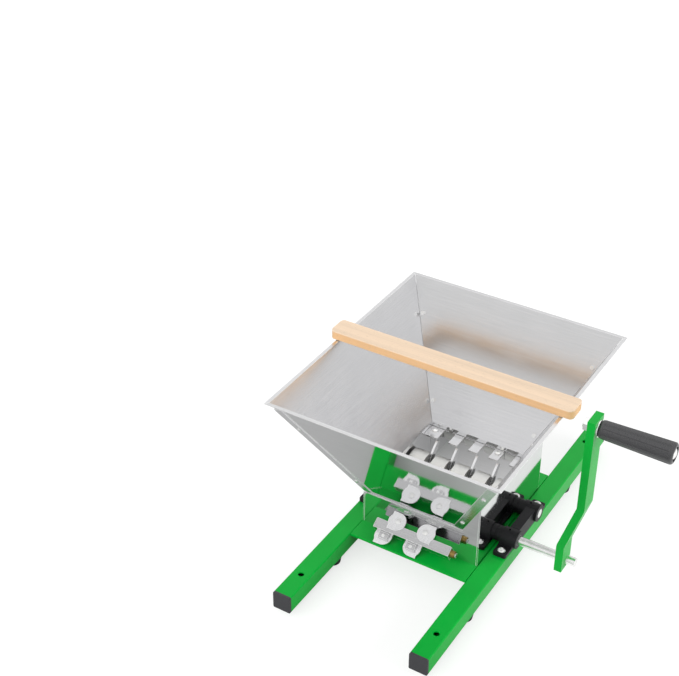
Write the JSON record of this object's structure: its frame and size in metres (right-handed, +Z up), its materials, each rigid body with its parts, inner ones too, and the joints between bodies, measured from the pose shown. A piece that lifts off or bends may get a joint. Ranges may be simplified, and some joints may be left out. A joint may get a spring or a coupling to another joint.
{
  "type": "apple scratter",
  "caption": "Hand-cranked fruit crusher: sheet-metal hopper over two geared knife drums in a steel box on tube rails, with a wooden pusher and a loose spare bladed rotor.",
  "frame": {"origin": "centre of the four bench holes, on the underside of the two rails", "axes": "+X across the rails towards the crank, +Y back along the rails, +Z up"},
  "size_m": [0.4697, 0.528, 0.272],
  "materials": {
    "green_paint": "gloss powder coat",
    "stainless_sheet": "polished",
    "bright_steel": "bright zinc",
    "cast_alloy": "turned and tumbled",
    "black_plastic": "satin",
    "black_rubber": "matt",
    "beech": "planed, bare",
    "brass": "turned"
  },
  "bodies": {
    "base": {"left_rail": "green_paint", "right_rail": "green_paint", "front_crossbar": "green_paint", "rear_crossbar": "green_paint", "rail_end_caps": "black_plastic", "rubber_feet": "black_rubber", "foot_screws": "bright_steel", "box_front_plate": "stainless_sheet", "box_rear_plate": "stainless_sheet", "box_left_plate": "stainless_sheet", "box_right_plate": "stainless_sheet", "box_rivets": "bright_steel", "box_bolts": "bright_steel", "box_nuts": "bright_steel", "gear_guard": "stainless_sheet", "hopper_front_panel": "stainless_sheet", "hopper_rear_panel": "stainless_sheet", "hopper_left_panel": "stainless_sheet", "hopper_right_panel": "stainless_sheet", "seam_screws": "bright_steel", "seam_nuts": "bright_steel", "hopper_bolts": "bright_steel", "hopper_nuts": "bright_steel", "front_comb": "stainless_sheet", "rear_comb": "stainless_sheet", "comb_brackets": "stainless_sheet", "comb_screws": "bright_steel", "left_bearing_block": "black_plastic", "right_bearing_block": "black_plastic", "bearing_bushes": "black_plastic", "bearing_bolts": "bright_steel", "bearing_nuts": "bright_steel"},
    "crank": {"crank_axle": "bright_steel", "front_drum_spacers": "cast_alloy", "front_knives": "stainless_sheet", "drive_gear": "bright_steel", "drive_key": "bright_steel", "front_axle_clip": "bright_steel", "crank_arm": "green_paint", "arm_set_screw": "bright_steel", "handle_bolt": "bright_steel", "handle_nut": "bright_steel", "handle_washer": "bright_steel"},
    "rear_drum": {"rear_axle": "bright_steel", "rear_drum_spacers": "cast_alloy", "rear_knives": "stainless_sheet", "driven_gear": "bright_steel", "driven_key": "bright_steel", "rear_axle_clip": "bright_steel"},
    "grip": {"handle_grip": "black_plastic"},
    "pusher": {"wooden_pusher": "beech"},
    "loose_rotor": {"loose_bar": "stainless_sheet", "loose_blades": "stainless_sheet", "loose_blade_rivets": "bright_steel", "loose_bush": "brass"}
  },
  "joints": [
    {"name": "crank_turn", "type": "hinge", "parent": "base", "child": "crank", "pos_m": [0, -0.031, 0.0365], "axis": [1, 0, 0], "continuous": true},
    {"name": "rear_drum_turn", "type": "hinge", "parent": "base", "child": "rear_drum", "pos_m": [0, 0.031, 0.0365], "axis": [1, 0, 0], "continuous": true},
    {"name": "grip_turn", "type": "hinge", "parent": "crank", "child": "grip", "pos_m": [0.24, -0.031, 0.2495], "axis": [1, 0, 0], "continuous": true},
    {"name": "pusher_lift", "type": "slide", "parent": "base", "child": "pusher", "axis": [0, 0, 1], "range_m": [0, 0.15]},
    {"name": "loose_rotor_slide", "type": "slide", "parent": "base", "child": "loose_rotor", "axis": [0, -1, 0], "range_m": [0, 0.15]}
  ],
  "couplings": [
    {"joint": "rear_drum_turn", "follows": "crank_turn", "ratio": -1}
  ]
}
